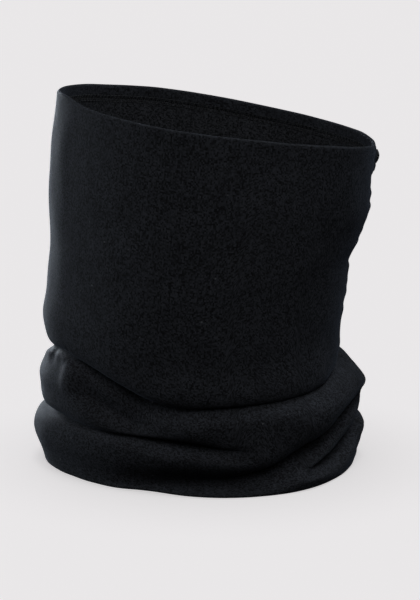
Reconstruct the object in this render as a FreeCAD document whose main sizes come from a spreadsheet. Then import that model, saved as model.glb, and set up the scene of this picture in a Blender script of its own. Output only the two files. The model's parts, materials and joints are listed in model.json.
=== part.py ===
import FreeCAD, Part

import os

import Sketcher

# A neck gaiter: a double tube of jersey, an outer layer and a lining, sewn together inside the rim at the
# top and at the hem at the bottom. It stands on its hem, with its lower part slouched into rolls.
# Frame: millimetres, +Z up, origin at the centre of the footprint on the floor, +X towards the side seam.
# The tube slides up and down against its slouched collar, and the care label flips about its sewn edge.

doc = FreeCAD.newDocument("neck_gaiter")

# Driving dimensions. half_x and half_y are the half axes of the outer cloth's outer face at each level.
DIMENSIONS = [
    ("hem_x", -2.6, "centre of the hem along X"),
    ("hem_half_x", 87.5, "hem, on the floor"),
    ("hem_half_y", 72.5, "hem, on the floor"),
    ("turn_up", 6.0, "height of the outer cloth turned up inside the hem"),
    ("turn_up_half_x", 90.6, "outer face at the top of the turn-up"),
    ("turn_up_half_y", 75.0, "outer face at the top of the turn-up"),
    ("low_roll_z", 14.0, "height of the lower roll's widest line"),
    ("low_roll_x", -3.1, "centre of the lower roll"),
    ("low_roll_half_x", 94.0, "lower roll"),
    ("low_roll_half_y", 76.5, "lower roll"),
    ("low_shoulder_z", 24.0, "height at which the lower roll turns in"),
    ("low_shoulder_x", -3.1, "centre of the lower roll's shoulder"),
    ("low_shoulder_half_x", 94.35, "lower roll's shoulder"),
    ("low_shoulder_half_y", 76.0, "lower roll's shoulder"),
    ("notch_z", 33.0, "height of the crease between the rolls"),
    ("notch_x", -2.0, "centre of the crease"),
    ("notch_half_x", 89.5, "crease between the rolls"),
    ("notch_half_y", 72.5, "crease between the rolls"),
    ("high_roll_z", 42.0, "height of the upper roll's widest line"),
    ("high_roll_x", -1.4, "centre of the upper roll"),
    ("high_roll_half_x", 92.4, "upper roll"),
    ("high_roll_half_y", 75.0, "upper roll"),
    ("high_shoulder_z", 53.0, "height at which the upper roll turns in"),
    ("high_shoulder_x", -2.2, "centre of the upper roll's shoulder"),
    ("high_shoulder_half_x", 90.5, "upper roll's shoulder"),
    ("high_shoulder_half_y", 73.5, "upper roll's shoulder"),
    ("throat_z", 64.0, "top of the slouched collar"),
    ("throat_x", -5.0, "centre of the throat, where the rolls meet the tube"),
    ("throat_half_x", 81.5, "throat"),
    ("throat_half_y", 67.0, "throat"),
    ("throat_gap", 1.0, "gap between the collar and the tube at rest"),
    ("belly_z", 81.0, "height of the tube's overhanging belly"),
    ("belly_x", -5.9, "centre of the belly"),
    ("belly_half_x", 84.7, "belly"),
    ("belly_half_y", 71.0, "belly"),
    ("waist_z", 110.0, "height of the tube's waist"),
    ("waist_x", -3.0, "centre of the waist"),
    ("waist_half_x", 84.8, "waist"),
    ("waist_half_y", 71.0, "waist"),
    ("chest_z", 150.0, "height of the tube's upper part"),
    ("chest_x", 3.2, "centre of the upper part"),
    ("chest_half_x", 89.2, "upper part"),
    ("chest_half_y", 70.0, "upper part"),
    ("rim_z", 196.2, "height of the rim's centre"),
    ("rim_x", 8.0, "centre of the rim"),
    ("rim_half_x", 89.4, "rim, along its own tilted plane"),
    ("rim_half_y", 68.0, "rim"),
    ("rim_tilt", 10.3, "tilt of the rim's plane about Y, in degrees, down towards +X"),
    ("facing", 8.0, "depth of the outer cloth turned down inside the rim"),
    ("facing_seam", 1.8, "height of the thread between the facing or the turn-up and the lining"),
    ("cloth", 1.0, "thickness of one layer of jersey"),
    ("layer_gap", 0.4, "air between the outer cloth and the lining"),
    ("stitch_proud", 0.7, "how far the side seam's stitches stand off the cloth"),
    ("stitch_clear", 0.1, "clearance between the cloth and a thread"),
    ("seam_width", 5.0, "width of a side seam's stitching"),
    ("seam_foot", 3.0, "height at which the outer side seam's stitches start"),
    ("seam_window", 130.0, "reach along X of the window that a side seam's stitches lie in"),
    ("seam_window_high", 230.0, "height of that window"),
    ("tack_high", 7.5, "length of the tack along the seam"),
    ("tack_wide", 6.5, "width of the tack across the seam"),
    ("tack_thick", 1.3, "thickness of the tack"),
    ("tack_drop", 0.8, "distance from the rim down to the tack"),
    ("tack_round", 0.45, "rounding of the tack's edges"),
    ("label_high", 25.0, "height of the care label"),
    ("label_wide", 21.0, "width of the care label from its sewn edge"),
    ("label_thick", 0.6, "thickness of the folded label"),
    ("label_x", 75.0, "sewn edge of the label along X, at its foot"),
    ("label_z", 84.0, "height of the label's foot"),
    ("label_lean", 5.5, "lean of the sewn edge about Y, in degrees"),
    ("label_open", 14.0, "angle that the label stands off the lining, in degrees"),
    ("label_edge", 0.5, "distance from the sewn edge's axis to the label"),
]

sheet = doc.addObject("Spreadsheet::Sheet", "Dimensions")
for row, (alias, number, note) in enumerate(DIMENSIONS, start=1):
    sheet.set(f"A{row}", note)
    sheet.set(f"B{row}", str(number))
    sheet.setAlias(f"B{row}", alias)
doc.recompute()


def cell(expression):
    """The expression with each alias in it written as a reference to the sheet."""
    words = expression.split()
    aliases = {alias for alias, _, _ in DIMENSIONS}
    return " ".join(f"Dimensions.{word}" if word in aliases else word for word in words)


def value(alias):
    """The number in the cell with this alias."""
    return float(sheet.get(alias))


# Levels: name, centre along X, height, half axes along X and Y, and tilt, each as an expression of the cells.
# A tilted level lies a distance along the rim's own normal below it.
def rim_level(below):
    return (
        f"rim_x - ( {below} ) * sin(Dimensions.rim_tilt)",
        f"rim_z - ( {below} ) * cos(Dimensions.rim_tilt)",
        "rim_half_x",
        "rim_half_y",
        "rim_tilt",
    )


LEVELS = {
    "hem": ("hem_x", "0", "hem_half_x", "hem_half_y", None),
    "turn_up": ("hem_x", "turn_up", "turn_up_half_x", "turn_up_half_y", None),
    "lining_foot": (
        "hem_x",
        "turn_up + facing_seam",
        "turn_up_half_x + ( low_roll_half_x - turn_up_half_x ) * facing_seam / ( low_roll_z - turn_up )",
        "turn_up_half_y + ( low_roll_half_y - turn_up_half_y ) * facing_seam / ( low_roll_z - turn_up )",
        None,
    ),
    "low_roll": ("low_roll_x", "low_roll_z", "low_roll_half_x", "low_roll_half_y", None),
    "low_shoulder": (
        "low_shoulder_x",
        "low_shoulder_z",
        "low_shoulder_half_x",
        "low_shoulder_half_y",
        None,
    ),
    "notch": ("notch_x", "notch_z", "notch_half_x", "notch_half_y", None),
    "high_roll": ("high_roll_x", "high_roll_z", "high_roll_half_x", "high_roll_half_y", None),
    "high_shoulder": (
        "high_shoulder_x",
        "high_shoulder_z",
        "high_shoulder_half_x",
        "high_shoulder_half_y",
        None,
    ),
    "throat": ("throat_x", "throat_z", "throat_half_x", "throat_half_y", None),
    "lip": ("throat_x", "throat_z + throat_gap", "throat_half_x", "throat_half_y", None),
    "belly": ("belly_x", "belly_z", "belly_half_x", "belly_half_y", None),
    "waist": ("waist_x", "waist_z", "waist_half_x", "waist_half_y", None),
    "chest": ("chest_x", "chest_z", "chest_half_x", "chest_half_y", None),
    "lining_top": rim_level("facing + facing_seam"),
    "facing": rim_level("facing"),
    "rim": rim_level("0"),
}
ROLLS = ["low_roll", "low_shoulder", "notch", "high_roll", "high_shoulder", "throat"]
COLLAR = ["hem", "turn_up"] + ROLLS
COLLAR_LINING = ["lining_foot"] + ROLLS
TUBE = ["lip", "belly", "waist", "chest", "facing", "rim"]
TUBE_LINING = ["lip", "belly", "waist", "chest", "lining_top"]

# Sketcher's numbers for a curve's centre, a point itself, and the sketch's own origin.
CENTRE = 3
START = 1
ORIGIN = -1

# Distances from the outer cloth's outer face, negative inwards.
OUTER_FACE = "0"
OUTER_BACK = "-1 * cloth"
LINING_BACK = "-1 * ( cloth + layer_gap )"
LINING_FACE = "-1 * ( 2 * cloth + layer_gap )"


def offset_by(*terms):
    """The sum of some offsets, as one expression."""
    return " + ".join(f"( {term} )" for term in terms)


def origin_plane(body, role):
    """The body's own origin plane with this role."""
    return next(f for f in body.Origin.OriginFeatures if f.Role == role)


def new_body(name):
    body = doc.addObject("PartDesign::Body", name)
    body.Label = name
    return body


def ellipse_sketch(body, name, level, offset):
    """A sketch at a level, with one ellipse whose half axes are the level's plus an offset."""
    centre_x, height, half_x, half_y, tilt = LEVELS[level]
    sketch = body.newObject("Sketcher::SketchObject", name)
    sketch.AttachmentSupport = [(origin_plane(body, "XY_Plane"), "")]
    sketch.MapMode = "FlatFace"
    if tilt:
        down_to_x = FreeCAD.Rotation(FreeCAD.Vector(0, 1, 0), value(tilt))
        sketch.AttachmentOffset = FreeCAD.Placement(FreeCAD.Vector(0, 0, 0), down_to_x)
        sketch.setExpression("AttachmentOffset.Rotation.Angle", cell(tilt))
    sketch.setExpression("AttachmentOffset.Base.x", cell(centre_x))
    sketch.setExpression("AttachmentOffset.Base.z", cell(height))
    start_x = value("rim_half_x")
    start_y = value("rim_half_y")
    curve = sketch.addGeometry(Part.Ellipse(FreeCAD.Vector(0, 0, 0), start_x, start_y), False)
    sketch.exposeInternalGeometry(curve)
    major = curve + 1
    minor = curve + 2
    sketch.addConstraint(Sketcher.Constraint("Coincident", curve, CENTRE, ORIGIN, START))
    sketch.addConstraint(Sketcher.Constraint("Horizontal", major))
    across = sketch.addConstraint(Sketcher.Constraint("Distance", major, 2 * start_x))
    along = sketch.addConstraint(Sketcher.Constraint("Distance", minor, 2 * start_y))
    sketch.renameConstraint(across, "width")
    sketch.renameConstraint(along, "depth")
    sketch.setExpression("Constraints.width", cell(f"2 * ( ( {half_x} ) + ( {offset} ) )"))
    sketch.setExpression("Constraints.depth", cell(f"2 * ( ( {half_y} ) + ( {offset} ) )"))
    return sketch


def loft(body, kind, name, levels, offset):
    """An additive or subtractive loft of the body through the named levels, at one offset from the cloth."""
    sketches = [ellipse_sketch(body, f"{name}_{level}", level, offset) for level in levels]
    feature = body.newObject(f"PartDesign::{kind}Loft", name)
    feature.Profile = sketches[0]
    feature.Sections = sketches[1:]
    feature.Ruled = True
    body.Tip = feature
    return feature


def wall(name, levels, outside, inside):
    """A tube of cloth or thread: a loft through the levels with a smaller loft taken out."""
    body = new_body(name)
    loft(body, "Additive", f"{name}_outside", levels, outside)
    loft(body, "Subtractive", f"{name}_inside", levels, inside)
    return body


def turned_wall(name, levels, turned, thin):
    """An outer layer whose edge is turned inwards: thin between the thin levels, and as thick as both layers
    and the gap between the two turned levels."""
    body = new_body(name)
    loft(body, "Additive", f"{name}_outside", levels, OUTER_FACE)
    loft(body, "Subtractive", f"{name}_inside", thin, OUTER_BACK)
    loft(body, "Subtractive", f"{name}_turned", turned, LINING_FACE)
    return body


def side_seam(name, levels, outside, inside, foot):
    """The stitches of a side seam: the part of a thin wall that lies in a narrow window at +X."""
    strip = wall(f"{name}_wall", levels, outside, inside)
    window = doc.addObject("Part::Box", f"{name}_window")
    window.setExpression("Length", cell("seam_window"))
    window.setExpression("Width", cell("seam_width"))
    window.setExpression("Height", cell("seam_window_high"))
    window.setExpression("Placement.Base.y", cell("seam_width * -0.5"))
    window.setExpression("Placement.Base.z", cell(foot))
    seam = doc.addObject("Part::Common", name)
    seam.Base, seam.Tool = strip, window
    seam.Label = name
    return seam


def seam_end_tack():
    """The bar of thread that closes the outer side seam's top end, square to the rim's plane."""
    block = doc.addObject("Part::Box", "seam_end_tack_block")
    block.setExpression("Length", cell("tack_thick"))
    block.setExpression("Width", cell("tack_wide"))
    block.setExpression("Height", cell("tack_high"))
    rim_turn = FreeCAD.Rotation(FreeCAD.Vector(0, 1, 0), value("rim_tilt"))
    rim_centre = FreeCAD.Vector(value("rim_x"), 0, value("rim_z"))
    out = value("rim_half_x") + value("stitch_proud") + value("stitch_clear")
    down = value("tack_drop") + value("tack_high")
    corner = FreeCAD.Vector(out, -value("tack_wide") / 2, -down)
    block.Placement = FreeCAD.Placement(rim_centre + rim_turn.multVec(corner), rim_turn)
    doc.recompute()
    tack = doc.addObject("Part::Fillet", "seam_end_tack")
    tack.Base = block
    rounding = value("tack_round")
    tack.Edges = [(edge, rounding, rounding) for edge in range(1, len(block.Shape.Edges) + 1)]
    tack.Label = "seam_end_tack"
    return tack


def care_label():
    """A folded woven label, sewn by one edge into the lining's side seam. Its own Z lies along that edge."""
    label = doc.addObject("Part::Box", "care_label")
    label.setExpression("Length", cell("label_thick"))
    label.setExpression("Width", cell("label_wide"))
    label.setExpression("Height", cell("label_high"))
    label.Label = "care_label"
    lean = FreeCAD.Rotation(FreeCAD.Vector(0, 1, 0), value("label_lean"))
    swing = FreeCAD.Rotation(FreeCAD.Vector(0, 0, 1), value("label_open"))
    turn = lean.multiply(swing)
    edge = FreeCAD.Vector(value("label_x"), 0, value("label_z"))
    middle = turn.multVec(FreeCAD.Vector(-value("label_thick") / 2, value("label_edge"), 0))
    label.Placement = FreeCAD.Placement(edge + middle, turn)
    return label


SEAM_BASE = offset_by(OUTER_FACE, "stitch_clear")
SEAM_TOP = offset_by(OUTER_FACE, "stitch_proud")
LINING_SEAM_BASE = offset_by(LINING_FACE, "-1 * stitch_clear")
LINING_SEAM_TOP = offset_by(LINING_FACE, "-1 * stitch_proud")

sub_parts = [
    turned_wall("outer_slouch", COLLAR, ["hem", "turn_up"], COLLAR[1:]),
    wall("lining_slouch", COLLAR_LINING, LINING_BACK, LINING_FACE),
    wall("hem_seam_thread", ["turn_up", "lining_foot"], LINING_BACK, LINING_FACE),
    side_seam("outer_side_seam_lower", COLLAR, SEAM_TOP, SEAM_BASE, "seam_foot"),
    side_seam("lining_side_seam_lower", COLLAR_LINING, LINING_SEAM_BASE, LINING_SEAM_TOP, "0"),
    turned_wall("outer_tube", TUBE, ["facing", "rim"], TUBE[:-1]),
    wall("lining_tube", TUBE_LINING, LINING_BACK, LINING_FACE),
    wall("rim_seam_thread", ["lining_top", "facing"], LINING_BACK, LINING_FACE),
    side_seam("outer_side_seam_upper", TUBE, SEAM_TOP, SEAM_BASE, "0"),
    side_seam("lining_side_seam_upper", TUBE_LINING, LINING_SEAM_BASE, LINING_SEAM_TOP, "0"),
    seam_end_tack(),
    care_label(),
]
doc.recompute()

for item in doc.Objects:
    if "Invalid" in item.State or "Error" in item.State:
        raise RuntimeError(f"{item.Name} failed: {item.State}")
for part in sub_parts:
    if part.Shape.isNull() or not part.Shape.isValid() or not part.Shape.Solids:
        raise RuntimeError(f"{part.Label} has no valid solid")

os.makedirs("parts", exist_ok=True)
for part in sub_parts:
    part.Shape.exportStep(f"parts/{part.Label}.step")
    box = part.Shape.BoundBox
    print(
        f"{part.Label}: {len(part.Shape.Solids)} solid, {part.Shape.Volume:.0f} mm3, "
        f"x {box.XMin:.1f} {box.XMax:.1f}, y {box.YMin:.1f} {box.YMax:.1f}, z {box.ZMin:.1f} {box.ZMax:.1f}"
    )
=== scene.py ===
import json
import math

import bpy
import numpy as np
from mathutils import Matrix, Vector
from mathutils.bvhtree import BVHTree


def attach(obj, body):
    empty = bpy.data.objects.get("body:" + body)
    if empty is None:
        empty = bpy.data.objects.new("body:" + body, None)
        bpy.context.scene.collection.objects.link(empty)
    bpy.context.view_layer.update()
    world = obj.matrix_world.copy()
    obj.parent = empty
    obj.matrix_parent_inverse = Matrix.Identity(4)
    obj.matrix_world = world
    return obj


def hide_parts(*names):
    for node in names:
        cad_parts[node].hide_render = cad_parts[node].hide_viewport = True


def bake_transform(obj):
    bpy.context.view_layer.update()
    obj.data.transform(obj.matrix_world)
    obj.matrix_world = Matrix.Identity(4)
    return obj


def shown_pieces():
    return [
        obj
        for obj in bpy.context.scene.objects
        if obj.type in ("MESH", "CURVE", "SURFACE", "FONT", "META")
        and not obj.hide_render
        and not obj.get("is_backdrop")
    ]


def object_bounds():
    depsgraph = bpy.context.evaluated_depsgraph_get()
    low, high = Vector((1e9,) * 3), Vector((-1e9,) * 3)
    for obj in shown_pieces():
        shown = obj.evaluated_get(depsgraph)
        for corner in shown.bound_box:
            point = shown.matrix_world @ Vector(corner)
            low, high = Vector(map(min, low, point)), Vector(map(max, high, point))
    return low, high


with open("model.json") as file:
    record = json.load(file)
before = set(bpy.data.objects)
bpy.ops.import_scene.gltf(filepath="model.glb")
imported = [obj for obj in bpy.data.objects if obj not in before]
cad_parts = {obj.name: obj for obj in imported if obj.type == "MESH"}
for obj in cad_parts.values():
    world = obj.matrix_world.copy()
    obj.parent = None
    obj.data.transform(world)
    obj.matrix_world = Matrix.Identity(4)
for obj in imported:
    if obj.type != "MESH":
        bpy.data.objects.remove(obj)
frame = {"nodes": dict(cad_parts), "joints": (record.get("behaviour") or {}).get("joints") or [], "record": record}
cad_low, cad_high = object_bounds()

# A neck gaiter of black jersey, standing on its hem. The outer cloth and the lining are one sheet each.
# Both are made as a grid: columns go round the tube by azimuth, and rows go up it from hem to rim.
# Azimuth 0 is +X, the side seam, and -90 is the side that faces the camera. Lengths are in metres.
MM = 0.001

# One layer of cloth, the air between the two layers, and the outer cloth's turned edges at hem and rim.
CLOTH = 0.9 * MM
GAP = 0.5 * MM
LAYER = CLOTH + GAP
TURN_UP = 6 * MM
FACING = 6.5 * MM
SEAM_SPACE = 0.5 * MM

# Width round the tube and length from edge to edge of each cloth, laid flat.
FLAT_CLOTH = (0.50, 0.245)
FLAT_LINING = (0.49, 0.21)

# The grids. Columns crowd at the side seam, and rows crowd where the cloth bends: one radian of bend counts
# as BEND_ROOM of extra length.
COLUMNS = 340
SEAM_CROWDING = 0.55
FINE_ROWS = 2400
MAIN_ROWS = 268
LINING_ROWS = 150
BEND_ROOM = 5 * MM
EDGE_ARC_ROWS = 6
TURN_ROWS = 6
TURNED_ROWS = EDGE_ARC_ROWS + TURN_ROWS

# The hem is moved onto the floor, and this is the height over which the move fades.
HEM_EASE = 8 * MM

# The lining lies over the outer cloth's creases: how far up and down it bridges them, and its smoothing.
LINING_EASE = 5 * MM
LINING_SMOOTHING = 2.5 * MM


# ---------------------------------------------------------------- the frame's measures


def record_item(group, name):
    """The mount or joint with this name."""
    items = frame["joints"] if group == "joints" else frame["record"][group]
    return next(item for item in items if item["name"] == name)


def surface_tree(*nodes):
    """The faces of some CAD nodes in one tree, to be measured with rays."""
    points = []
    faces = []
    for node in nodes:
        mesh = frame["nodes"][node].data
        start = len(points)
        points += [vertex.co.copy() for vertex in mesh.vertices]
        faces += [[start + corner for corner in face.vertices] for face in mesh.polygons]
    return BVHTree.FromPolygons(points, faces)


RIM = record_item("mounts", "rim_opening")
RIM_TILT = math.atan2(RIM["axis"][0], RIM["axis"][2])
# The height at which the rim's plane crosses the Z axis, and the height above which the rings tilt.
RIM_ON_AXIS = RIM["pos_m"][2] + RIM["pos_m"][0] * math.tan(RIM_TILT)
TILT_START = 0.5 * RIM_ON_AXIS

# The CAD's outer face is measured with rays that start FAR out, in rings RING_STEP apart. The measures are
# then smoothed over RING_SMOOTHING rings.
OUTER_CAD = surface_tree("outer_slouch", "outer_tube")
FAR = 0.3
RING_STEP = 4 * MM
RING_SMOOTHING = 2.0


def ring_tilt(height):
    """The tilt of the ring at a height on the axis: level below, and the rim's own tilt at the rim."""
    share = np.clip((height - TILT_START) / (RIM_ON_AXIS - TILT_START), 0, 1)
    return RIM_TILT * share * share * (3 - 2 * share)


def reach(point, direction):
    """How far the CAD's outer face lies from a point inside, or None in the gap between the two nodes."""
    hit, _, _, distance = OUTER_CAD.ray_cast(point + direction * FAR, -direction)
    return None if hit is None or distance > FAR else FAR - distance


def measured_ring(height):
    """Height, centre along the ring's own X, and half axes, from three rays in the ring's plane."""
    tilt = float(ring_tilt(height))
    along = Vector((math.cos(tilt), 0, -math.sin(tilt)))
    middle = Vector((0, 0, height))
    right = reach(middle, along)
    left = reach(middle, -along)
    if right is None or left is None:
        return None
    shift = (right - left) / 2
    depth = reach(middle + along * shift, Vector((0, 1, 0)))
    return None if depth is None else (height, shift, (right + left) / 2, depth)


def gaussian_smooth(values, sigma, wrap=False):
    """Values smoothed along their first axis, sigma in samples."""
    span = max(1, int(4 * sigma))
    kernel = np.exp(-0.5 * (np.arange(-span, span + 1) / sigma) ** 2)
    padded = np.pad(values, span, mode="wrap" if wrap else "edge")
    return np.convolve(padded, kernel / kernel.sum(), mode="valid")


def envelope(heights):
    """The smooth tube that the cloth hangs on: centre shift and half axes at each height."""
    levels = np.arange(0.5 * MM, RIM_ON_AXIS, RING_STEP)
    rings = [ring for ring in (measured_ring(level) for level in levels) if ring]
    measured = np.array(rings).T
    even = np.linspace(0, RIM_ON_AXIS, len(levels))
    return [
        np.interp(heights, even, gaussian_smooth(np.interp(even, measured[0], row), RING_SMOOTHING))
        for row in measured[1:]
    ]


# ---------------------------------------------------------------- folds in the outer cloth

# The fine grid, on which the folds are made: the azimuth of each column and the height of each row.
TURN = np.linspace(-math.pi, math.pi, COLUMNS, endpoint=False)
AZIMUTH = np.degrees(TURN - SEAM_CROWDING * np.sin(TURN))
HEIGHT = np.linspace(0, RIM_ON_AXIS, FINE_ROWS)

# Stations are joined by straight lines sampled at this step, and smoothed over this angle. Both in degrees.
STATION_STEP = 0.5
STATION_SMOOTHING = 2.8

# Each fold is a row of stations. A station is an azimuth in degrees and then, in millimetres, the height of
# the fold's lip, the depth of its crease, how far the cloth above hangs over it, how far above it the cloth
# starts to turn in, and how far below it the cloth takes to come out again.
TUBE_LIP = [
    (-180, 67, 4, 1, 6, 3), (-166, 71, 4, 1.5, 4, 3), (-152, 73, 3, 1, 3, 3), (-145, 72, 3, 1, 3, 3),
    (-138, 70, 6, 4, 3, 4), (-128, 65, 8, 6, 3, 6), (-119, 60, 10, 7, 3, 8), (-111, 55, 11, 7, 3, 9),
    (-104, 52, 11, 7, 3, 8), (-96, 50, 10, 6, 3, 6), (-77, 50.5, 9, 6, 3, 4), (-52, 51.5, 8, 6, 3, 4),
    (-36, 53, 9, 6, 3, 5), (-20, 57.5, 10, 6, 3, 6), (-8, 62, 10, 5, 4, 6), (2, 66, 7, 4, 5, 5),
    (30, 72, 9, 6, 6, 8), (60, 69, 11, 8, 6, 11), (90, 64, 12, 9, 6, 13), (120, 62, 10, 8, 6, 11),
    (150, 65, 7, 4, 5, 7),
]
UNDER_LIP = [
    (-142, 56, 0, 0, 9, 5), (-134, 51, 5, 0, 11, 5), (-126, 46, 8, 0, 13, 5), (-116, 42, 9, 0, 13, 4),
    (-106, 41, 4, 0, 9, 4), (-96, 40, 0, 0, 8, 4),
]
SPIRAL_CREASE = [
    (-51, 9, 0, 0, 3, 4), (-46, 11, 7, 2, 3, 4), (-38, 13.5, 13, 5, 3, 6), (-31, 16, 15, 6, 3, 8),
    (-24, 19.5, 16, 6, 3, 9), (-16, 22.5, 15, 5, 3, 9), (-8, 25, 12, 4, 3, 9), (2, 29, 5, 2, 4, 5),
    (30, 30, 7, 4, 4, 6), (60, 30, 9, 6, 4, 7), (90, 30, 10, 6, 4, 7), (120, 31, 9, 6, 4, 6),
    (150, 33, 6, 4, 4, 5), (180, 34.5, 4, 2, 4, 3), (209, 36.5, 4, 2, 3, 3), (228, 33.5, 5, 3, 3, 3),
    (242, 32.2, 8, 5, 3, 4), (253, 31.6, 10, 5, 3, 6), (265, 31, 11, 5, 3, 6), (272, 29.5, 9, 4, 3, 6),
    (281, 27, 4, 2, 4, 6), (292, 25, 0, 0, 4, 6),
]
FRONT_VALLEY = [
    (-148, 12, 0, 0, 8, 7), (-128, 8, 0.5, 0, 8, 7), (-116, 5, 3, 0, 8, 6), (-106, 5, 7, 0, 8, 5),
    (-96, 6, 11, 0, 8, 5), (-79, 7, 13, 1, 8, 5), (-67, 11.5, 15, 2, 6, 8), (-58, 18, 17, 5, 3, 11),
    (-51, 22, 17, 6, 3, 10), (-44, 25, 16, 7, 3, 8), (-38, 28, 15, 7, 3, 6), (-31, 33, 15, 6, 3, 7),
    (-25, 36.5, 13, 5, 3, 7), (-18, 39.5, 11, 4, 3, 7), (-10, 42, 6, 2, 4, 6), (0, 43, 0, 0, 4, 5),
]

# Each fold with its ledge power. A high power brings the cloth below the crease out again in a sharp step,
# and a low one in a slope.
FOLDS = [(TUBE_LIP, 3), (UNDER_LIP, 2), (SPIRAL_CREASE, 4), (FRONT_VALLEY, 4)]

# The power of the curve above a crease, where no cloth hangs over it and where CRISP_HANG or more does.
SOFT_POWER = 2.0
CRISP_POWER = 1.2
CRISP_HANG = 3 * MM

# The distances above a crease at which the lowest point of its lip is looked for: up to how many times the
# lip's own height, and in how many steps.
LIP_SEARCH = 3
LIP_STEPS = 90

# Places where the cloth stands out from, or in from, the smooth tube: azimuth and height of the middle, half
# width in degrees and in millimetres, and how far out in millimetres.
SWELLS = [
    (180, 163, 40, 24, 1.6),
    (180, 127, 35, 12, -1.2),
    (180, 88, 35, 10, 1.4),
    (180, 54, 40, 6, 1.8),
    (180, 34, 30, 4, -4.2),
    (180, 21, 28, 9, 2.0),
    (-90, 60, 55, 18, 3.0),
    (-143, 61, 5.5, 9, 3.2),
    (-160, 67, 3, 4, -1.6),
    (0, 158, 25, 15, 1.9),
    (0, 122, 25, 8, -2.0),
    (0, 81, 25, 8, -1.0),
    (0, 47, 28, 7, 4.2),
    (9, 21, 20, 8, 2.4),
    (-42, 37, 20, 7, 2.0),
    (-55, 8, 28, 16, 4.5),
    (-140, 6, 27, 22, -5.9),
    (-110, 4, 17, 34, -3.2),
    (-80, 2, 45, 12, 1.2),
]

# How far the rim stands above its flat plane, in millimetres, by azimuth. The seam pulls it down. The wave
# fades from the rim down with the power given here, and in the lining with the second one.
RIM_WAVE = [
    (-159, 2.6), (-144, 0.5), (-134, 0.5), (-118, 0.9), (-106, 1.4), (-92, 2.8), (-78, 4.1), (-62, 4.8),
    (-50, 5.3), (-40, 5.2), (-29, 4.6), (-16, 3.9), (-6, 2.3), (0, 1.7), (6, 3.2), (20, 3.9), (45, 3.0),
    (67, 2.2), (90, 2.2), (115, 2.0), (134, 0.9), (180, 0.9),
]
RIM_WAVE_POWER = 3
LINING_WAVE_POWER = 6

# The side seam draws the cloth in along its line and puckers it on both sides, in three mixed wavelengths.
SEAM_GROOVE = 0.45 * MM
SEAM_GROOVE_ANGLE = 1.3
PUCKER = 0.55 * MM
PUCKER_ANGLE = 7.0
PUCKER_LENGTHS = (8.7 * MM, 13.9 * MM, 31 * MM)

# Where the seam's end is tacked under the rim, the cloth stands out in a lump with a tail below it.
LUMP = 2.3 * MM
LUMP_BELOW_RIM = 6.5 * MM
LUMP_HIGH = 3.2 * MM
LUMP_TAIL = 6.5 * MM
LUMP_ANGLE = 3.5

# Slight wrinkles everywhere: how many, their shortest and longest wavelength, and the longest ones' height.
WRINKLES = 26
WRINKLE_LENGTHS = (16 * MM, 70 * MM)
WRINKLE_HEIGHT = 0.06 * MM
WRINKLE_SEED = 11


def around(stations, column):
    """One column of a fold's stations at every azimuth of the grid."""
    even = np.arange(-180, 180, STATION_STEP)
    values = np.interp(even, [s[0] for s in stations], [s[column] for s in stations], period=360)
    smooth = gaussian_smooth(values, STATION_SMOOTHING / STATION_STEP, wrap=True)
    return np.interp(AZIMUTH, even, smooth, period=360)


def hanging(above, lip):
    """How much the cloth hangs, at a distance above the crease: nothing at it, most at the lip."""
    share = np.clip(above / lip, 0, None)
    return share * np.exp(1 - share)


def add_fold(inward, drop, stations, ledge):
    """Presses a crease into the cloth, and hangs the cloth above over it."""
    height, depth, hang, lip, spread = (around(stations, column) * MM for column in range(1, 6))
    above = np.linspace(0, LIP_SEARCH, LIP_STEPS)[:, None] * lip
    lip_below_crease = (hang * hanging(above, lip) - above).max(axis=0)
    distance = HEIGHT[:, None] - (height + lip_below_crease)
    power = SOFT_POWER + (CRISP_POWER - SOFT_POWER) * np.clip(hang / CRISP_HANG, 0, 1)
    over = np.exp(-((np.clip(distance, 0, None) / lip) ** power))
    under = np.exp(-((np.clip(-distance, 0, None) / (spread + lip_below_crease)) ** ledge))
    inward += depth * np.where(distance > 0, over, under)
    drop += hang * hanging(distance, lip)


def turn_between(azimuth, middle):
    """Degrees from a middle azimuth, the short way round."""
    return (azimuth - middle + 180) % 360 - 180


def swell(azimuth, height, wide, high, out):
    """A smooth bump on the fine grid. Heights are in metres and widths in degrees."""
    sideways = turn_between(AZIMUTH, azimuth)[None, :] / wide
    upwards = (HEIGHT[:, None] - height) / high
    return out * np.exp(-(sideways**2) - upwards**2)


def seam_pull():
    """How far out the side seam moves the cloth: a groove along it, and puckers beside it."""
    sideways = AZIMUTH[None, :]
    groove = np.exp(-((sideways / SEAM_GROOVE_ANGLE) ** 2))
    near = np.exp(-((sideways / PUCKER_ANGLE) ** 2))
    waves = sum(np.sin(2 * math.pi * HEIGHT / length) for length in PUCKER_LENGTHS)[:, None]
    return PUCKER * near * waves / len(PUCKER_LENGTHS) ** 0.5 - SEAM_GROOVE * groove


def wrinkling():
    """Many faint waves in all directions, which keep whole turns round the tube."""
    random = np.random.default_rng(WRINKLE_SEED)
    total = np.zeros((FINE_ROWS, COLUMNS))
    for _ in range(WRINKLES):
        length = random.uniform(*WRINKLE_LENGTHS)
        heading = random.uniform(0, math.pi)
        turns = round(FLAT_CLOTH[0] / length * math.cos(heading))
        rise = math.sin(heading) / length
        phase = random.uniform(0, 2 * math.pi)
        wave = np.radians(AZIMUTH)[None, :] * turns + 2 * math.pi * HEIGHT[:, None] * rise + phase
        total += WRINKLE_HEIGHT * np.sin(wave) * (length / WRINKLE_LENGTHS[1]) ** 0.5
    return total


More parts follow.
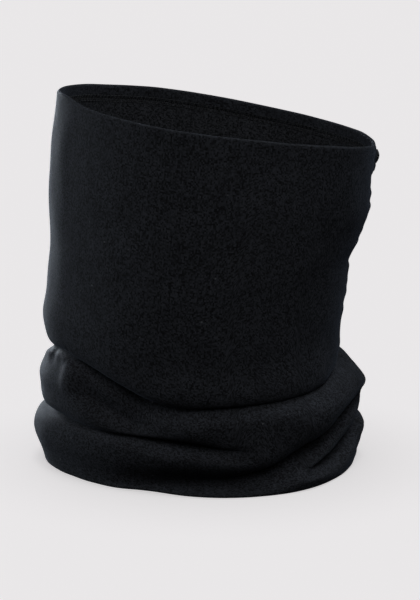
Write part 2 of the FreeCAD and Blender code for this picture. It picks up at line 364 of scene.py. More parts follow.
def outer_shape():
    """How far each point of the outer cloth lies inside the smooth tube, and how far it has dropped."""
    inward = CLOTH / 2 - seam_pull() - wrinkling()
    for azimuth, height, wide, high, out in SWELLS:
        inward -= swell(azimuth, height * MM, wide, high * MM, out * MM)
    seam_end = RIM_ON_AXIS - LUMP_BELOW_RIM
    inward -= swell(0, seam_end, LUMP_ANGLE, LUMP_HIGH, LUMP)
    inward -= swell(0, seam_end - LUMP_TAIL, LUMP_ANGLE, LUMP_TAIL, LUMP / 2)
    near_rim = np.clip((HEIGHT - TILT_START) / (RIM_ON_AXIS - TILT_START), 0, 1)[:, None]
    drop = -around(RIM_WAVE, 1) * MM * near_rim**RIM_WAVE_POWER
    for stations, ledge in FOLDS:
        add_fold(inward, drop, stations, ledge)
    return inward, drop


# ---------------------------------------------------------------- the two cloths' grids


def placed(inward, drop):
    """The fine grid's points, each moved a distance inwards from the smooth tube and then dropped."""
    shift, half_x, half_y = (row[:, None] for row in envelope(HEIGHT))
    angle = np.radians(AZIMUTH)[None, :]
    tilt = ring_tilt(HEIGHT)[:, None]
    across = half_y * np.cos(angle)
    deep = half_x * np.sin(angle)
    length = np.hypot(across, deep)
    along = shift + half_x * np.cos(angle) - inward * across / length
    y = half_y * np.sin(angle) - inward * deep / length
    x = along * np.cos(tilt) - drop * np.sin(tilt)
    z = HEIGHT[:, None] - along * np.sin(tilt) - drop * np.cos(tilt)
    return np.stack([x, y, z], axis=-1)


def unit(vectors):
    """The vectors, each made one long."""
    return vectors / np.maximum(np.linalg.norm(vectors, axis=-1, keepdims=True), 1e-12)


def normals(points):
    """Outward normals of a grid of points, rows up and columns round."""
    up = np.gradient(points, axis=0)
    wrapped = np.concatenate([points[:, -1:], points, points[:, :1]], axis=1)
    sideways = (wrapped[:, 2:] - wrapped[:, :-2]) / 2
    return unit(np.cross(sideways, up))


def summed(steps):
    """The sum of the steps so far up each column, from 0."""
    return np.concatenate([np.zeros((1, steps.shape[1])), np.cumsum(steps, axis=0)])


def rows_at(wanted, travelled, points):
    """A grid's rows at wanted distances up each column, where its own rows lie at the travelled distances."""
    rows = np.empty((len(wanted), COLUMNS, 3))
    for column in range(COLUMNS):
        for axis in range(3):
            values = points[:, column, axis]
            rows[:, column, axis] = np.interp(wanted[:, column], travelled[:, column], values)
    return rows


def even_rows(points, count, skip_low, skip_high):
    """The grid cut into rows at even steps, which crowd where the cloth bends. A length is left out at each
    end of each column."""
    along = np.diff(points, axis=0)
    steps = np.linalg.norm(along, axis=-1)
    heading = unit(along)
    bend = np.arccos(np.clip((heading[1:] * heading[:-1]).sum(axis=-1), -1, 1))
    steps[1:] += BEND_ROOM * bend
    travelled = summed(steps)
    wanted = np.linspace(np.full(COLUMNS, skip_low), travelled[-1] - skip_high, count)
    return rows_at(wanted, travelled, points)


def turned_edge(cloth, out, away, depth):
    """Rows that turn a cloth's edge inwards round a half circle, and then run back along its inside for a
    depth. The cloth's points and its outward normals are given from the edge on."""
    radius = LAYER / 2
    arc = []
    for step in range(1, EDGE_ARC_ROWS + 1):
        angle = math.pi * step / EDGE_ARC_ROWS
        arc.append(cloth[0] - out[0] * radius * (1 - math.cos(angle)) + away * radius * math.sin(angle))
    travelled = summed(np.linalg.norm(np.diff(cloth, axis=0), axis=-1))
    even = depth * np.arange(1, TURN_ROWS + 1) / TURN_ROWS
    back = rows_at(np.repeat(even[:, None], COLUMNS, axis=1), travelled, cloth - out * LAYER)
    return np.concatenate([arc, back])


# What a turned edge takes from the cloth's height.
EDGE_ROUND = LAYER / 2 + CLOTH / 2


def outer_grid(inward, drop):
    """The outer cloth from the end of its turn-up, round the hem, up to the rim and down its facing."""
    main = even_rows(placed(inward, drop), MAIN_ROWS, EDGE_ROUND, EDGE_ROUND)
    out = normals(main)
    up = unit(np.gradient(main, axis=0))
    hem = turned_edge(main, out, -up[0], TURN_UP)
    rim = turned_edge(main[::-1], out[::-1], up[-1], FACING)
    grid = np.concatenate([hem[::-1], main, rim])
    to_floor = CLOTH / 2 - grid[..., 2].min(axis=0)
    grid[..., 2] += to_floor * np.exp(-grid[..., 2] / HEM_EASE)
    return grid


def lining_grid(inward, drop):
    """The lining, one cloth and one gap inside the outer cloth, between the two seams. It lies over the
    outer cloth's creases instead of going into them, so it is as far in as the deepest point near it."""
    row = HEIGHT[1]
    reach_rows = round(LINING_EASE / row)
    deepest = inward.copy()
    for step in range(-reach_rows, reach_rows + 1, 2):
        rows = np.clip(np.arange(FINE_ROWS) + step, 0, FINE_ROWS - 1)
        deepest = np.maximum(deepest, inward[rows])
    smooth = np.stack([gaussian_smooth(column, LINING_SMOOTHING / row) for column in deepest.T], axis=-1)
    near_rim = np.clip(HEIGHT / RIM_ON_AXIS, 0, 1)[:, None]
    main = placed(smooth + LAYER, drop[-1] * near_rim**LINING_WAVE_POWER)
    edge = SEAM_SPACE + EDGE_ROUND
    return even_rows(main, LINING_ROWS, TURN_UP + edge, FACING + edge)


# ---------------------------------------------------------------- meshes


def new_piece(name, points, faces, material, smooth=True):
    """A mesh object in the scene with one material."""
    mesh = bpy.data.meshes.new(name)
    mesh.from_pydata([tuple(p) for p in points], [], faces)
    mesh.materials.append(material)
    mesh.polygons.foreach_set("use_smooth", [smooth] * len(mesh.polygons))
    piece = bpy.data.objects.new(name, mesh)
    bpy.context.scene.collection.objects.link(piece)
    return piece


def write_uv(piece, u, v):
    """A UV map from one u and one v for each face corner, in the order of the mesh's loops."""
    layer = piece.data.uv_layers.new(name="flat")
    layer.data.foreach_set("uv", np.stack([u, v], axis=-1).astype(np.float32).ravel())


def sheet_corners(rows, columns):
    """The column, row and side of every face's four corners in a closed sheet. Its outer side is 0 and its
    inner side is 1. The faces come in four groups: outer side, inner side, lower edge and upper edge."""
    row = np.repeat(np.arange(rows - 1), columns)
    column = np.tile(np.arange(columns), rows - 1)
    edge = np.arange(columns)
    lowest = np.zeros(columns, int)
    groups = [
        (column, [0, 1, 1, 0], row, [0, 0, 1, 1], [0, 0, 0, 0]),
        (column, [1, 0, 0, 1], row, [0, 0, 1, 1], [1, 1, 1, 1]),
        (edge, [0, 1, 1, 0], lowest, [0, 0, 0, 0], [1, 1, 0, 0]),
        (edge, [0, 1, 1, 0], lowest + rows - 1, [0, 0, 0, 0], [0, 0, 1, 1]),
    ]
    at_column, at_row, at_side = [], [], []
    for first_column, right_of, first_row, above, side in groups:
        at_column.append(first_column[:, None] + right_of)
        at_row.append(first_row[:, None] + above)
        at_side.append(first_row[:, None] * 0 + side)
    return np.concatenate(at_column), np.concatenate(at_row), np.concatenate(at_side)


def cloth_piece(name, grid, material, flat):
    """A closed sheet: two faces half a thickness each side of the grid, joined along its two edges."""
    rows, columns, _ = grid.shape
    out = normals(grid) * CLOTH / 2
    points = np.concatenate([(grid + out).reshape(-1, 3), (grid - out).reshape(-1, 3)])
    column, row, side = sheet_corners(rows, columns)
    faces = (side * rows + row) * columns + column % columns
    piece = new_piece(name, points, faces.tolist(), material)
    turn = np.append(AZIMUTH, 180) / 360 + 0.5
    write_uv(piece, turn[column] * flat[0], row / (rows - 1) * flat[1])
    return piece


# ---------------------------------------------------------------- thread

# The thread's thickness, the sides and rings of a stitch, and the share of the thickness at a stitch's ends.
THREAD = 0.42 * MM
THREAD_SIDES = 6
STITCH_RINGS = 6
STITCH_END = 0.55


def stitches(name, starts, ends, ups, rise, material, thick=THREAD):
    """Short stitches, each bowed off the cloth by rise, with thinner ends that dip into it."""
    share = np.linspace(0, 1, STITCH_RINGS)
    bow = np.sin(math.pi * share)[None, :, None]
    along = ends - starts
    middle = starts[:, None] + along[:, None] * share[None, :, None] + ups[:, None] * bow * rise
    side = unit(np.cross(along, ups))[:, None, None]
    lift = unit(np.cross(side[:, 0, 0], along))[:, None, None]
    angle = np.linspace(0, 2 * math.pi, THREAD_SIDES, endpoint=False)[None, None, :, None]
    radius = thick / 2 * (STITCH_END + (1 - STITCH_END) * bow[..., None])
    points = (middle[:, :, None] + radius * (side * np.cos(angle) + lift * np.sin(angle))).reshape(-1, 3)
    faces = []
    u = []
    v = []
    lengths = np.linalg.norm(along, axis=-1)
    for stitch in range(len(starts)):
        first = stitch * STITCH_RINGS * THREAD_SIDES
        for ring in range(STITCH_RINGS - 1):
            for corner in range(THREAD_SIDES):
                a = first + ring * THREAD_SIDES + corner
                b = first + ring * THREAD_SIDES + (corner + 1) % THREAD_SIDES
                faces.append((a, b, b + THREAD_SIDES, a + THREAD_SIDES))
                low = share[ring] * lengths[stitch]
                high = share[ring + 1] * lengths[stitch]
                here = corner / THREAD_SIDES
                there = (corner + 1) / THREAD_SIDES
                u += [low, low, high, high]
                v += [here, there, there, here]
        last = first + (STITCH_RINGS - 1) * THREAD_SIDES
        faces.append(tuple(range(first + THREAD_SIDES - 1, first - 1, -1)))
        faces.append(tuple(range(last, last + THREAD_SIDES)))
        u += [0] * THREAD_SIDES + [lengths[stitch]] * THREAD_SIDES
        v += [0] * THREAD_SIDES * 2
    piece = new_piece(name, points, faces, material)
    write_uv(piece, np.array(u), np.array(v) * math.pi * thick)
    return piece


def sewn(name, rows, rise, material, thick=THREAD):
    """Stitches from rows of (start, end, up), each of them one vector or an array of vectors."""
    starts, ends, ups = (np.concatenate([np.atleast_2d(row[part]) for row in rows]) for part in range(3))
    return stitches(name, starts, ends, ups, rise, material, thick)


def run_length(points):
    """How far along a line of points each of them lies."""
    return np.concatenate([[0], np.cumsum(np.linalg.norm(np.diff(points, axis=0), axis=-1))])


# How far before and after a point on a line its direction is taken.
LINE_STEP = 0.5 * MM


class SeamLine:
    """A line on the cloth: where it is, which way it faces, and points beside it."""

    def __init__(self, points, ups, closed=False):
        if closed:
            points = np.concatenate([points, points[:1]])
            ups = np.concatenate([ups, ups[:1]])
        self.points = points
        self.ups = ups
        self.travelled = run_length(points)
        self.length = self.travelled[-1]

    def mix(self, values, at):
        """The values at a distance along the line, each between its two neighbours."""
        return np.stack([np.interp(at, self.travelled, values[:, axis]) for axis in range(3)], axis=-1)

    def beside(self, at, side):
        """Points at a distance along the line and to its side, and the direction off the cloth there."""
        at = np.asarray(at)
        along = unit(self.mix(self.points, at + LINE_STEP) - self.mix(self.points, at - LINE_STEP))
        up = unit(self.mix(self.ups, at))
        sideways = unit(np.cross(along, up))
        return self.mix(self.points, at) + sideways * np.asarray(side)[..., None], up


# A flatlock seam: its width, its pitch, the share of a pitch that each stitch covers, the share of the half
# width that the lacing thread goes out to, and how far the stitches stand off.
FLATLOCK_WIDE = 3.4 * MM
FLATLOCK_PITCH = 2.5 * MM
NEEDLE_SHARE = 0.86
LACED_SHARE = 0.9
STITCH_RISE = 0.12 * MM


def flatlock(name, line, lift, material):
    """A row of short stitches down each side of a line, and a thread that laces from one to the other."""
    count = round(line.length / FLATLOCK_PITCH)
    pitch = line.length / count
    at = np.arange(count) * pitch
    half = FLATLOCK_WIDE / 2
    laced = half * LACED_SHARE
    runs = [
        (at, -half, at + NEEDLE_SHARE * pitch, -half),
        (at, half, at + NEEDLE_SHARE * pitch, half),
        (at, -laced, at + pitch / 2, laced),
        (at + pitch / 2, laced, np.minimum(at + pitch, line.length), -laced),
    ]
    rows = []
    for start, start_side, end, end_side in runs:
        low, low_up = line.beside(start, np.full(count, start_side))
        high, high_up = line.beside(end, np.full(count, end_side))
        rows.append((low + low_up * lift, high + high_up * lift, unit(low_up + high_up)))
    return sewn(name, rows, STITCH_RISE, material)


# ---------------------------------------------------------------- the tack and the label


def node_points(node):
    """The corners of a CAD node's mesh."""
    return np.array([vertex.co[:] for vertex in frame["nodes"][node].data.vertices])


# The tack: its rows of thread, how far their ends wander, how far they stand off, and how thick they are.
TACK_ROWS = 15
TACK_WANDER = 0.35 * MM
TACK_SEED = 5
TACK_CROWN = 0.7 * MM
TACK_THREAD = THREAD * 1.15


def bar_tack(line, material):
    """Close rows of thread across the seam's end, over two threads that run along it."""
    size = np.ptp(node_points("seam_end_tack"), axis=0)
    high = size[2] - THREAD
    wide = size[1] - THREAD
    random = np.random.default_rng(TACK_SEED)
    middle = line.length - LUMP_BELOW_RIM
    pitch = high / TACK_ROWS
    rows = []
    for row in range(TACK_ROWS):
        at = middle + (row - TACK_ROWS / 2) * pitch
        left, right = random.uniform(0, TACK_WANDER, 2)
        start, start_up = line.beside(at, -wide / 2 + left)
        end, end_up = line.beside(at + pitch / 2, wide / 2 - right)
        rows.append((start + start_up * THREAD, end + end_up * THREAD, unit(start_up + end_up)))
    for side in (-1, 1):
        for half in (-1, 0):
            start, start_up = line.beside(middle + half * high / 2, side * wide / 3)
            end, end_up = line.beside(middle + (half + 1) * high / 2, side * wide / 3)
            rows.append((start + start_up * THREAD, end + end_up * THREAD, start_up))
    return sewn("seam_end_bar_tack", rows, TACK_CROWN, material, TACK_THREAD)


# The label's ribbon: one ply's thickness, its steps round the fold, its grid, and how far its middle curls.
LABEL_PLY = 0.22 * MM
LABEL_FOLD_STEPS = 8
LABEL_ROWS = 20
LABEL_COLUMNS = 24
LABEL_CURL = 0.7 * MM


def label_frame():
    """The label's own axes: up its sewn edge, across it to the free fold, and off its face."""
    hinge = record_item("joints", "label_flip")
    corner = np.array(hinge["pos_m"])
    up = unit(np.array(hinge["axis"]))
    points = node_points("care_label") - corner
    across = points.mean(axis=0)
    across = unit(across - up * (across @ up))
    return corner, up, across, np.cross(across, up), points


def label_path(near, far, spread):
    """The folded ribbon seen from above: distances across the label and off its middle."""
    width = far - spread - near
    path = [(near + width * step / LABEL_COLUMNS, spread) for step in range(LABEL_COLUMNS + 1)]
    for step in range(1, LABEL_FOLD_STEPS):
        angle = math.pi * step / LABEL_FOLD_STEPS
        path.append((far - spread + spread * math.sin(angle), spread * math.cos(angle)))
    path += [(place, -spread) for place, _ in reversed(path[: LABEL_COLUMNS + 1])]
    return np.array(path)


def ring_faces(around_count, distance, high):
    """The faces between a ribbon's rings of points, with the u and v of their corners."""
    faces, u, v = [], [], []
    for row in range(LABEL_ROWS):
        level = row / LABEL_ROWS * high
        above = (row + 1) / LABEL_ROWS * high
        for corner in range(around_count):
            a = row * around_count + corner
            b = row * around_count + (corner + 1) % around_count
            faces.append((a, b, b + around_count, a + around_count))
            here = distance[corner]
            there = distance[(corner + 1) % around_count]
            u += [here, there, there, here]
            v += [level, level, above, above]
    return faces, u, v


def cut_faces(around_count, distance, high):
    """The faces that close a ribbon's lower and upper cut edges, with the u and v of their corners."""
    faces, u, v = [], [], []
    for row, flip in ((0, True), (LABEL_ROWS, False)):
        for step in range(around_count // 2 - 1):
            a = row * around_count + step
            b = row * around_count + around_count - 1 - step
            corners = (a, a + 1, b - 1, b)
            faces.append(corners[::-1] if flip else corners)
            u += [distance[step]] * 4
            v += [row / LABEL_ROWS * high] * 4
    return faces, u, v


def label_piece(material):
    """A satin ribbon folded in two: from the sewn edge out to the fold, round it, and back."""
    corner, up, across, off, points = label_frame()
    low, high = (points @ up).min(), (points @ up).max()
    near, far = (points @ across).min(), (points @ across).max()
    face = (points @ off).mean()
    path = label_path(near, far, (points @ off).max() - face - LABEL_PLY / 2)
    sideways = unit(np.gradient(path, axis=0))
    outwards = np.stack([-sideways[:, 1], sideways[:, 0]], axis=-1)
    grid = []
    for row in range(LABEL_ROWS + 1):
        share = row / LABEL_ROWS
        level = low + (high - low) * share
        plies = []
        for ply in (-0.5, 0.5):
            place = path + outwards * ply * LABEL_PLY
            reach_out = (place[:, 0] - near) / (far - near)
            curl = LABEL_CURL * reach_out**2 * math.cos(math.pi * (share - 0.5)) + face
            sideways_part = np.outer(place[:, 0], across)
            plies.append(corner + up * level + sideways_part + np.outer(place[:, 1] + curl, off))
        grid.append(np.concatenate([plies[0], plies[1][::-1]]))
    distance = run_length(path)
    distance = np.concatenate([distance, distance[::-1]])
    rings = ring_faces(len(distance), distance, high - low)
    cuts = cut_faces(len(distance), distance, high - low)
    faces, u, v = (ring + cut for ring, cut in zip(rings, cuts))
    piece = new_piece("care_label_satin", np.array(grid).reshape(-1, 3), faces, material)
    write_uv(piece, np.array(u), np.array(v))
    return piece


# The row of stitches beside the label's sewn edge: how many, how far in, and the shares of each pitch at
# which a stitch starts and that it covers. The thread is finer than the seams'. Its ends lie sunk below the
# label's face, and its middle comes up by as much.
LABEL_STITCHES = 9
LABEL_STITCH_IN = 1.6 * MM
LABEL_STITCH_START = 0.15
LABEL_STITCH_SHARE = 0.7
LABEL_THREAD = THREAD * 0.8
SUNK = THREAD / 4


def label_stitches(material):
    """A row of stitches through the label beside its sewn edge, on both of its faces."""
    corner, up, across, off, points = label_frame()
    low, high = (points @ up).min(), (points @ up).max()
    near = (points @ across).min() + LABEL_STITCH_IN
    middle = (points @ off).mean()
    thick = (points @ off).max() - middle
    pitch = (high - low) / LABEL_STITCHES
    rows = []
    for side in (-1, 1):
        for stitch in range(LABEL_STITCHES):
            level = low + pitch * (stitch + LABEL_STITCH_START)
            place = corner + across * near + off * (middle + side * (thick - SUNK))
            end = level + pitch * LABEL_STITCH_SHARE
            rows.append((place + up * level, place + up * end, off * side))
    return sewn("care_label_stitches", rows, SUNK, material, LABEL_THREAD)


# ---------------------------------------------------------------- materials


class Nodes:
    """A material with its Principled shader, and short ways to add nodes to it."""

    def __init__(self, name):
        self.material = bpy.data.materials.new(name)
        self.material.use_nodes = True
        self.tree = self.material.node_tree
        self.shader = self.tree.nodes["Principled BSDF"]

    def add(self, kind, links=(), settings=(), **values):
        """A node with its settings, its fixed inputs and its linked inputs. Inputs are named or numbered."""
        node = self.tree.nodes.new("ShaderNode" + kind)
        for key, value in dict(settings).items():
            setattr(node, key, value)
        for key, value in values.items():
            node.inputs[key].default_value = value
        for key, source in dict(links).items():
            self.tree.links.new(source, node.inputs[key])
        return node

    def maths(self, operation, *inputs):
        """The result of a maths node on its inputs, each a number or a socket."""
        node = self.tree.nodes.new("ShaderNodeMath")
        node.operation = operation
        for index, value in enumerate(inputs):
            if isinstance(value, (int, float)):
                node.inputs[index].default_value = value
            else:
                self.tree.links.new(value, node.inputs[index])
        return node.outputs[0]

    def blend(self, factor, low, high):
        """A colour between two, each a colour or a socket."""
        node = self.tree.nodes.new("ShaderNodeMix")
        node.data_type = "RGBA"
        self.tree.links.new(factor, node.inputs[0])
        for index, value in ((6, low), (7, high)):
            if isinstance(value, tuple):
                node.inputs[index].default_value = (*value, 1)
            else:
                self.tree.links.new(value, node.inputs[index])
        return node.outputs[2]

    def noise(self, vector, scale, detail, roughness=0.55):
        """Noise between 0 and 1 at a place."""
        node = self.add("TexNoise", {"Vector": vector}, Scale=scale, Detail=detail, Roughness=roughness)
        return node.outputs["Fac"]

    def between(self, value, low, high, out_low=0.0, out_high=1.0):
        """A value between low and high carried over to between out_low and out_high."""
        node = self.tree.nodes.new("ShaderNodeMapRange")
        for index, number in enumerate((low, high, out_low, out_high), start=1):
            node.inputs[index].default_value = number
        self.tree.links.new(value, node.inputs[0])
        return node.outputs[0]

    def wave(self, value, length):
        """0 to 1 and back along a coordinate, once in each length."""
        turned = self.maths("MULTIPLY", value, 2 * math.pi / length)
        return self.maths("MULTIPLY_ADD", self.maths("SINE", turned), 0.5, 0.5)

    def bump(self, height, distance, strength=1.0, normal=None):
        """The normal bent by a height, on top of another bend where one is given."""
        node = self.add("Bump", {"Height": height}, Distance=distance, Strength=strength)
        if normal is not None:
            self.tree.links.new(normal, node.inputs["Normal"])
        return node.outputs["Normal"]

    def use(self, **sockets):
        """Sets or links the shader's inputs. An underscore in a name stands for a space."""
        for key, value in sockets.items():
            socket = self.shader.inputs[key.replace("_", " ")]
            if isinstance(value, bpy.types.NodeSocket):
                self.tree.links.new(value, socket)
            elif isinstance(value, tuple):
                socket.default_value = (*value, 1)
            else:
                socket.default_value = value
        return self.material


# A stitch of the jersey is this wide and this high.
WALE = 0.75 * MM
COURSE = 0.62 * MM


def jersey(name, dark, light, lint, sheen):
    """Fine single jersey of heathered yarn: columns of V stitches, uneven yarn, fuzz and specks of lint."""
    m = Nodes(name)
    flat = m.add("TexCoord").outputs["UV"]
    place = m.add("TexCoord").outputs["Object"]
    split = m.add("SeparateXYZ", {"Vector": flat})
    across, up = split.outputs["X"], split.outputs["Y"]

    yarn_grid = m.add("Mapping", {"Vector": flat}, settings={"vector_type": "POINT"})
    yarn_grid.inputs["Scale"].default_value = (1 / WALE, 0.75 / WALE, 1)
    mottle = m.noise(yarn_grid.outputs["Vector"], 0.8, 3, 0.7)
    loop = m.add("VectorMath", {0: flat}, settings={"operation": "SNAP"})
    loop.inputs[1].default_value = (WALE, COURSE, 1)
    each = m.add("TexWhiteNoise", {"Vector": loop.outputs[0]}, settings={"noise_dimensions": "2D"})
    each_loop = m.maths("MULTIPLY", each.outputs["Value"], 0.45)
    heather = m.maths("ADD", each_loop, m.maths("MULTIPLY", mottle, 0.55))
    patches = m.noise(place, 55, 4)
    streak_grid = m.add("Mapping", {"Vector": flat})
    streak_grid.inputs["Scale"].default_value = (900, 45, 1)
    streaks = m.noise(streak_grid.outputs["Vector"], 1.0, 2)

    wales = m.wave(across, WALE)
    slant = m.maths("ABSOLUTE", m.maths("SUBTRACT", wales, 0.5))
    loops = m.wave(m.maths("ADD", up, m.maths("MULTIPLY", slant, COURSE)), COURSE)
    knit = m.maths("MULTIPLY", wales, m.between(loops, 0, 1, 0.45, 1.0))

    tone = m.between(heather, 0.28, 0.72)
    tone = m.maths("MULTIPLY", tone, m.between(patches, 0.3, 0.7, 0.82, 1.12))
    tone = m.maths("MULTIPLY", tone, m.between(streaks, 0.3, 0.7, 0.85, 1.15))
    tone = m.maths("MULTIPLY", tone, m.between(knit, 0, 1, 0.92, 1.05))
    colour = m.blend(tone, dark, light)

    specks = m.add("TexVoronoi", {"Vector": place}, Scale=150.0, Randomness=1.0)
    fleck = m.between(specks.outputs["Distance"], 0.05, 0.10, 1.0, 0.0)
    chosen = m.between(m.add("SeparateColor", {"Color": specks.outputs["Color"]}).outputs[0], 0.80, 0.82)
    colour = m.blend(m.maths("MULTIPLY", fleck, chosen), colour, lint)

    fuzz = m.noise(place, 2600, 2, 0.7)
    normal = m.bump(fuzz, 0.10 * MM, 0.6)
    normal = m.bump(knit, 0.07 * MM, 0.7, normal)
    normal = m.bump(heather, 0.14 * MM, 0.7, normal)
    return m.use(
        Base_Color=colour, Roughness=m.between(heather, 0.3, 0.7, 0.78, 0.96), Normal=normal,
        Sheen_Weight=sheen, Sheen_Roughness=0.35, Sheen_Tint=(0.62, 0.74, 1.0), Specular_IOR_Level=0.12,
    )


def sewing_thread(name, dark, light):
    """Polyester sewing thread: two plies twisted together, with a slight gloss."""
    m = Nodes(name)
    split = m.add("SeparateXYZ", {"Vector": m.add("TexCoord").outputs["UV"]})
    place = m.add("TexCoord").outputs["Object"]
    twist = m.maths("ADD", split.outputs["X"], m.maths("MULTIPLY", split.outputs["Y"], 0.6))
    plies = m.wave(twist, 0.45 * MM)
    fibres = m.noise(place, 5200, 3)
    tone = m.maths("MULTIPLY", plies, m.between(fibres, 0.3, 0.7, 0.6, 1.2))
    normal = m.bump(fibres, 0.03 * MM, 0.5)
    normal = m.bump(plies, 0.10 * MM, 0.9, normal)
    return m.use(
        Base_Color=m.blend(tone, dark, light), Roughness=m.between(fibres, 0.3, 0.7, 0.42, 0.62),
        Normal=normal, Sheen_Weight=0.05, Specular_IOR_Level=0.35,
    )


def label_satin(name, dark, light):
    """Woven satin: long smooth floats across the ribbon in a fine diagonal step, and close warp lines."""
    m = Nodes(name)
    split = m.add("SeparateXYZ", {"Vector": m.add("TexCoord").outputs["UV"]})
    across, up = split.outputs["X"], split.outputs["Y"]
    place = m.add("TexCoord").outputs["Object"]
    warp = m.wave(across, 0.28 * MM)
    twill = m.wave(m.maths("ADD", across, m.maths("MULTIPLY", up, 2.5)), 1.1 * MM)
    uneven = m.noise(place, 260, 4)
    weave = m.maths("MULTIPLY", m.between(warp, 0, 1, 0.7, 1.0), m.between(twill, 0, 1, 0.8, 1.0))
    tone = m.maths("MULTIPLY", weave, m.between(uneven, 0.3, 0.7, 0.75, 1.15))
    normal = m.bump(weave, 0.05 * MM, 0.7)
    normal = m.bump(uneven, 0.25 * MM, 0.4, normal)
    return m.use(
        Base_Color=m.blend(tone, dark, light), Roughness=m.between(weave, 0.5, 1, 0.44, 0.30), Normal=normal,
        Sheen_Weight=0.08, Sheen_Roughness=0.3, Specular_IOR_Level=0.5, Anisotropic=0.5,
    )


# The paper gives some light of its own, and where its grain is darkest it has this share of its colour.
FLOOR_GLOW = 0.7
GRAIN_SHADE = 0.99


def floor_paper(name, colour):
    """Matt pale paper with a faint grain."""
    m = Nodes(name)
    place = m.add("TexCoord").outputs["Object"]
    grain = m.noise(place, 900, 3)
    darker = tuple(value * GRAIN_SHADE for value in colour)
    return m.use(
        Base_Color=m.blend(grain, darker, colour), Roughness=0.95, Specular_IOR_Level=0.0,
        Normal=m.bump(grain, 0.02 * MM, 0.2), Emission_Color=colour, Emission_Strength=FLOOR_GLOW,
    )


# ---------------------------------------------------------------- camera, light and floor

# The camera: its angle down, its distance, and how far right and up of the object's middle it looks.
PHOTO_PITCH = math.radians(14.5)
PHOTO_DISTANCE = 1.3
TARGET_SHIFT = (3.6 * MM, -13.3 * MM)
LENS = 137.6
SENSOR = 36

# The room: the floor's colour and half width, the light from above that the floor alone takes, and the little
# light from all round.
PAPER = (0.823, 0.807, 0.815)
ROOM = 6.0
CEILING_ANGLE = math.radians(40)
CEILING_POWER = 0.85
AMBIENT = 0.03

# The soft lights stand this far off, and their colours are near to white.
LIGHT_DISTANCE = 1.4
COOL = (0.84, 0.92, 1.0)
NEUTRAL = (0.96, 0.98, 1.0)


def aim(thing, place, target):
    """Puts a camera or a light at a place and points it at a target."""
    thing.location = place
    thing.rotation_euler = (Vector(target) - Vector(place)).to_track_quat("-Z", "Y").to_euler()


def photo_camera():
    """The camera looks along +Y and a little down, and its middle is near the object's."""
    middle = (cad_low + cad_high) / 2
    target = Vector((middle.x + TARGET_SHIFT[0], 0, middle.z + TARGET_SHIFT[1]))
    data = bpy.data.cameras.new("camera")
    data.sensor_width = SENSOR
    data.lens = LENS
    camera = bpy.data.objects.new("camera", data)
    bpy.context.scene.collection.objects.link(camera)
    back = Vector((0, -math.cos(PHOTO_PITCH), math.sin(PHOTO_PITCH)))
    aim(camera, target + back * PHOTO_DISTANCE, target)
    bpy.context.scene.camera = camera


def new_light(name, kind, azimuth, elevation, distance, power, colour):
    """A light that shines on the object from a direction in degrees. Azimuth -90 is the camera's side."""
    data = bpy.data.lights.new(name, kind)
    data.energy = power
    data.color = colour
    light = bpy.data.objects.new(name, data)
    bpy.context.scene.collection.objects.link(light)
    around_z = math.radians(azimuth)
    up = math.radians(elevation)
    place = Vector((math.cos(around_z) * math.cos(up), math.sin(around_z) * math.cos(up), math.sin(up)))
    middle = (cad_low + cad_high) / 2
    aim(light, middle + place * distance, middle)
    return light


def soft_light(name, azimuth, elevation, size, power, colour):
    """A rectangular light of a width and a height in metres."""
    light = new_light(name, "AREA", azimuth, elevation, LIGHT_DISTANCE, power, colour)
    light.data.shape = "RECTANGLE"
    light.data.size, light.data.size_y = size
    return light


def floor():
    """A plain floor, which takes the object's soft shadow and throws no light back on it."""
    corners = [(-ROOM, -ROOM, 0), (ROOM, -ROOM, 0), (ROOM, ROOM, 0), (-ROOM, ROOM, 0)]
    piece = new_piece("floor", corners, [(0, 1, 2, 3)], floor_paper("floor_paper", PAPER))
    piece.visible_diffuse = False
    piece.visible_glossy = False
    piece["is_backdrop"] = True
    return piece


def only_on(lights, things, name):
    """These lights fall on these things alone."""
    group = bpy.data.collections.new(name)
    for thing in things:
        group.objects.link(thing)
    for light in lights:
        light.light_linking.receiver_collection = group


def studio():
    """A plain pale room. One light from straight above falls on the floor alone. The four soft lights that
    are returned are for the object alone: behind it on the left, left, high in front, and high right."""
    scene = bpy.context.scene
    scene.view_settings.view_transform = "Standard"
    world = bpy.data.worlds.new("studio")
    world.use_nodes = True
    background = world.node_tree.nodes["Background"]
    background.inputs["Color"].default_value = (*PAPER, 1)
    background.inputs["Strength"].default_value = AMBIENT
    scene.world = world
    ceiling = new_light("ceiling", "SUN", 0, 90, 2, CEILING_POWER, (1, 1, 1))
    ceiling.data.angle = CEILING_ANGLE
    only_on([ceiling], [floor()], "floor_only")
    return [
        soft_light("rim", 118, 5, (0.6, 0.3), 27, COOL),
        soft_light("key", 168, 12, (0.6, 0.4), 11, COOL),
        soft_light("front", -78, 46, (1.3, 0.9), 8.2, NEUTRAL),
        soft_light("right", 22, 62, (0.5, 0.6), 9, COOL),
    ]


# ---------------------------------------------------------------- the scene

photo_camera()
lights = studio()

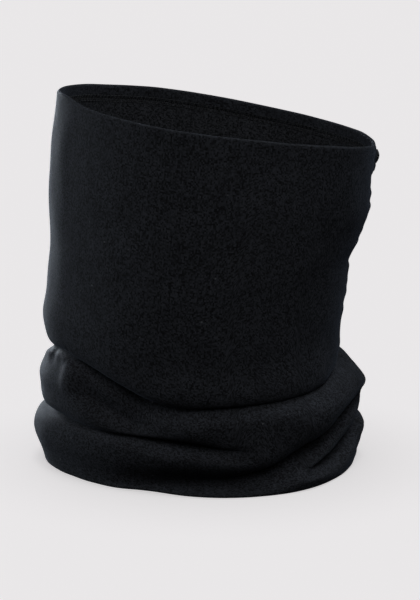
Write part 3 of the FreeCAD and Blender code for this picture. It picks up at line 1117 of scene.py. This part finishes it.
outer_jersey = jersey(
    "outer_jersey",
    dark=(0.003, 0.0032, 0.0037), light=(0.030, 0.032, 0.038), lint=(0.07, 0.074, 0.08), sheen=0.05,
)
# The lining's dark and light colours are a third lighter than the outer cloth's: painted light, standing in for
# more light on the inside of the tube.
lining_jersey = jersey(
    "lining_jersey",
    dark=(0.004, 0.0042, 0.0048), light=(0.040, 0.042, 0.048), lint=(0.07, 0.07, 0.075), sheen=0.03,
)
thread = sewing_thread("seam_thread", (0.004, 0.0043, 0.005), (0.016, 0.017, 0.0195))
satin = label_satin("label_satin", (0.030, 0.031, 0.034), (0.075, 0.077, 0.083))

# The two cloths.
inward, drop = outer_shape()
outer = outer_grid(inward, drop)
outer_cloth = cloth_piece("outer_cloth", outer, outer_jersey, FLAT_CLOTH)
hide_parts("outer_slouch", "outer_tube")
lining = lining_grid(inward, drop)
lining_cloth = cloth_piece("lining_cloth", lining, lining_jersey, FLAT_LINING)
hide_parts("lining_slouch", "lining_tube")

# The seams. Their thread is pressed into the cloth, so its middle lies a fifth of its thickness above it.
seam_column = int(np.argmin(np.abs(AZIMUTH)))
on_cloth = CLOTH / 2 + THREAD / 5
outer_out = normals(outer)
lining_out = normals(lining)
main_rows = slice(TURNED_ROWS, -TURNED_ROWS)
outer_line = SeamLine(outer[main_rows, seam_column], outer_out[main_rows, seam_column])
outer_seam = flatlock("outer_side_seam", outer_line, on_cloth, thread)
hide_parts("outer_side_seam_lower", "outer_side_seam_upper")
lining_line = SeamLine(lining[:, seam_column], -lining_out[:, seam_column])
lining_seam = flatlock("lining_side_seam", lining_line, on_cloth, thread)
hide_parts("lining_side_seam_lower", "lining_side_seam_upper")

rim_line = SeamLine((outer[-1] + lining[-1]) / 2, unit(outer_out[-1] - lining_out[-1]), closed=True)
rim_seam = flatlock("rim_seam", rim_line, on_cloth, thread)
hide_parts("rim_seam_thread")
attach(rim_seam, "tube")
hem_line = SeamLine(outer[0], outer_out[0], closed=True)
hem_seam = flatlock("hem_seam", hem_line, on_cloth, thread)
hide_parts("hem_seam_thread")
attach(hem_seam, "collar")
tack = bar_tack(outer_line, thread)
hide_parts("seam_end_tack")
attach(tack, "tube")

# The care label.
label = label_piece(satin)
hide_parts("care_label")
label_sewing = label_stitches(thread)
for piece in (label, label_sewing):
    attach(piece, "label")

# The two cloths and their side seams are left on no body: their placement is baked into their points.
for piece in (outer_cloth, lining_cloth, outer_seam, lining_seam):
    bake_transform(piece)

only_on(lights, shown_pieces(), "object_only")
